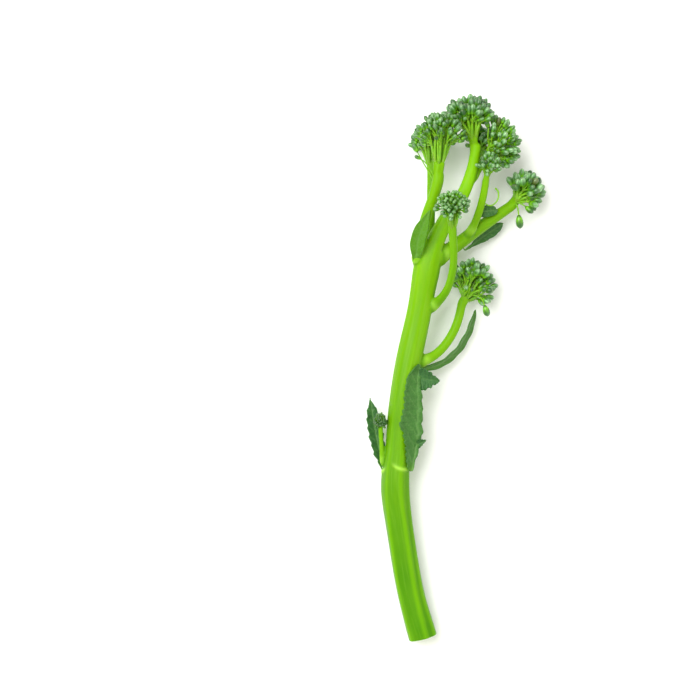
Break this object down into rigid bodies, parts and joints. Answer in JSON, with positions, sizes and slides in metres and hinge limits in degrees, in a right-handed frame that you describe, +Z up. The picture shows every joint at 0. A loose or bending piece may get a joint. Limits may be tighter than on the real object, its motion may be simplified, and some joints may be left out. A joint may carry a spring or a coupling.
{
  "type": "broccolini stalk",
  "caption": "Stalk of broccolini lying on a surface: a curved stem forks into side stems that end in florets of flower buds, with small leaves at the joints.",
  "frame": {"origin": "middle of the footprint, on the surface that the stalk lies on", "axes": "+Y from the cut end towards the crown, +Z up from the surface, +X to the right seen from above"},
  "size_m": [0.0613, 0.1848, 0.0335],
  "materials": {
    "main_stem_skin": "smooth waxy plant skin, bright yellow-green",
    "side_stem_skin": "smooth waxy plant skin, light yellow-green",
    "flower_buds": "closed flower buds with a blue-green bloom on yellow-green stalks",
    "leaf_blade": "matt waxy leaf, dark blue-green with pale veins"
  },
  "bodies": {
    "root": {"main_stem": "main_stem_skin", "left_crown_stem": "side_stem_skin", "far_right_stem": "side_stem_skin", "front_stem": "side_stem_skin", "side_shoot_stem": "side_stem_skin", "inner_crown_stem": "side_stem_skin", "right_crown_stem": "side_stem_skin", "back_left_stem": "side_stem_skin", "back_right_stem": "side_stem_skin", "bud_shoot_stem": "side_stem_skin", "top_floret": "flower_buds", "left_crown_floret": "flower_buds", "far_right_floret": "flower_buds", "front_floret": "flower_buds", "side_shoot_floret": "flower_buds", "inner_crown_floret": "flower_buds", "right_crown_floret": "flower_buds", "back_left_floret": "flower_buds", "back_right_floret": "flower_buds", "bud_shoot_floret": "flower_buds", "serrated_leaf": "leaf_blade", "strap_leaf": "leaf_blade", "bud_shoot_leaf": "leaf_blade", "fork_bract": "leaf_blade", "oval_leaf": "leaf_blade", "under_leaf": "leaf_blade"}
  },
  "joints": []
}
